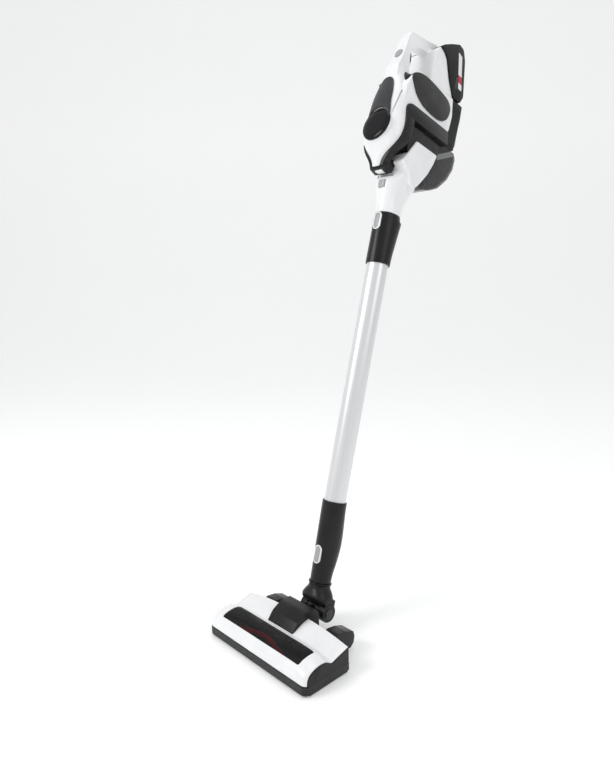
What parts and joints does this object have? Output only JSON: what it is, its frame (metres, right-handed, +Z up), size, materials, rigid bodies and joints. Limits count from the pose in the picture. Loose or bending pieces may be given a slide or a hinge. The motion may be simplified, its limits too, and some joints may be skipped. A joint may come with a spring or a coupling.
{
  "type": "cordless stick vacuum",
  "caption": "Upright cordless stick vacuum: powered floor head on a two-axis neck, metal wand, and a hand unit with loop handle, dust container and slide-on battery.",
  "frame": {"origin": "on the floor, on the underside of the felt strip in the middle of the floor head", "axes": "+Z up, -Y towards the front of the floor head, +X towards the end of the head that is on the right of someone who looks along +Y; the stick leans 16.26 degrees back towards +Y"},
  "size_m": [0.253, 0.5457, 1.0738],
  "materials": {
    "white_gloss_plastic": "gloss",
    "grey_plastic": "satin",
    "black_satin_plastic": "satin",
    "dark_grey_plastic": "satin",
    "piano_black_plastic": "gloss",
    "smoked_clear_plastic": "clear, smoked",
    "silver_tube": "satin",
    "steel": "brushed",
    "red_bristle": "bristle",
    "black_rubber": "matt",
    "felt": "felt",
    "white_label": "matt"
  },
  "bodies": {
    "hand_unit": {"main_housing": "white_gloss_plastic", "handle_loop": "white_gloss_plastic", "front_panel": "dark_grey_plastic", "motor_cover_disc": "piano_black_plastic", "side_panel_left": "piano_black_plastic", "side_panel_right": "piano_black_plastic", "chassis_trim": "black_satin_plastic", "exhaust_vent": "black_satin_plastic", "motor_can": "steel", "container_latch": "black_satin_plastic"},
    "impeller": {"impeller": "grey_plastic"},
    "trigger": {"trigger": "grey_plastic"},
    "mode_button": {"mode_button": "grey_plastic"},
    "container_button": {"container_button": "white_gloss_plastic"},
    "battery": {"battery_case": "black_satin_plastic", "battery_label": "white_label"},
    "battery_release": {"battery_release": "grey_plastic"},
    "dust_unit": {"dust_container": "smoked_clear_plastic", "nozzle_duct": "white_gloss_plastic", "inlet_pipe": "white_gloss_plastic", "nozzle_tab": "grey_plastic", "filter_cartridge": "dark_grey_plastic", "cyclone_screen": "steel"},
    "wand": {"wand_tube": "silver_tube", "upper_connector": "black_satin_plastic", "upper_button_rim": "white_gloss_plastic"},
    "upper_release_button": {"upper_release_button": "grey_plastic"},
    "neck": {"neck_body": "black_satin_plastic", "lower_button_rim": "white_gloss_plastic", "swivel_collar": "piano_black_plastic", "yoke": "black_satin_plastic", "pivot_cap_left": "dark_grey_plastic", "pivot_cap_right": "dark_grey_plastic"},
    "lower_release_button": {"lower_release_button": "grey_plastic"},
    "knuckle": {"knuckle": "black_satin_plastic"},
    "head": {"head_base": "black_satin_plastic", "head_cover": "white_gloss_plastic", "window": "smoked_clear_plastic", "dome_cover": "black_satin_plastic", "end_cap_left": "black_satin_plastic", "end_cap_right": "black_satin_plastic", "brush_motor": "steel", "drive_belt": "black_rubber", "sole_strip": "felt", "wheel_bracket_left": "black_satin_plastic", "wheel_bracket_right": "black_satin_plastic"},
    "brush": {"brush_core": "dark_grey_plastic", "bristle_strip_1": "red_bristle", "bristle_strip_2": "black_satin_plastic", "bristle_strip_3": "black_satin_plastic"},
    "motor_pulley": {"motor_pulley": "steel"},
    "wheel_left": {"rear_wheel_left": "black_rubber"},
    "wheel_right": {"rear_wheel_right": "black_rubber"}
  },
  "joints": [
    {"name": "impeller_spin", "type": "hinge", "parent": "hand_unit", "child": "impeller", "pos_m": [0, 0.33422, 0.96504], "axis": [0, -0.96, 0.28], "continuous": true},
    {"name": "trigger_pull", "type": "slide", "parent": "hand_unit", "child": "trigger", "axis": [0, -0.96, 0.28], "range_m": [0, 0.0025], "stiffness_N_per_m": 300, "springref_m": -0.002},
    {"name": "mode_button_press", "type": "slide", "parent": "hand_unit", "child": "mode_button", "axis": [0, 0.8584, -0.5129], "range_m": [0, 0.001], "stiffness_N_per_m": 300, "springref_m": -0.002},
    {"name": "container_button_press", "type": "slide", "parent": "hand_unit", "child": "container_button", "axis": [0, 0.28, 0.96], "range_m": [0, 0.002], "stiffness_N_per_m": 300, "springref_m": -0.002},
    {"name": "battery_slide", "type": "slide", "parent": "hand_unit", "child": "battery", "axis": [0, 0.28, 0.96], "range_m": [0, 0.08]},
    {"name": "battery_release_press", "type": "slide", "parent": "battery", "child": "battery_release", "axis": [-1, 0, 0], "range_m": [0, 0.0015], "stiffness_N_per_m": 300, "springref_m": -0.002},
    {"name": "dust_unit_slide", "type": "slide", "parent": "hand_unit", "child": "dust_unit", "axis": [0, -0.28, -0.96], "range_m": [0, 0.12]},
    {"name": "wand_slide", "type": "slide", "parent": "dust_unit", "child": "wand", "axis": [0, -0.28, -0.96], "range_m": [0, 0.06]},
    {"name": "upper_release_press", "type": "slide", "parent": "wand", "child": "upper_release_button", "axis": [0, 0.96, -0.28], "range_m": [0, 0.002], "stiffness_N_per_m": 300, "springref_m": -0.002},
    {"name": "neck_slide", "type": "slide", "parent": "wand", "child": "neck", "axis": [0, -0.28, -0.96], "range_m": [0, 0.05]},
    {"name": "lower_release_press", "type": "slide", "parent": "neck", "child": "lower_release_button", "axis": [0, 0.96, -0.28], "range_m": [0, 0.002], "stiffness_N_per_m": 300, "springref_m": -0.002},
    {"name": "head_pitch", "type": "hinge", "parent": "neck", "child": "knuckle", "pos_m": [0, 0.101, 0.04], "axis": [1, 0, 0], "range_deg": [-12, 65]},
    {"name": "head_roll", "type": "hinge", "parent": "knuckle", "child": "head", "pos_m": [0, 0.101, 0.04], "axis": [0, 1, 0], "range_deg": [-42, 42]},
    {"name": "brush_spin", "type": "hinge", "parent": "head", "child": "brush", "pos_m": [0, -0.0235, 0.0215], "axis": [1, 0, 0], "continuous": true},
    {"name": "pulley_spin", "type": "hinge", "parent": "head", "child": "motor_pulley", "pos_m": [-0.1173, 0.023, 0.021], "axis": [1, 0, 0], "continuous": true},
    {"name": "wheel_left_spin", "type": "hinge", "parent": "head", "child": "wheel_left", "pos_m": [-0.079, 0.08, 0.013], "axis": [1, 0, 0], "continuous": true},
    {"name": "wheel_right_spin", "type": "hinge", "parent": "head", "child": "wheel_right", "pos_m": [0.079, 0.08, 0.013], "axis": [1, 0, 0], "continuous": true}
  ],
  "couplings": [
    {"joint": "pulley_spin", "follows": "brush_spin", "ratio": 1.1667}
  ]
}
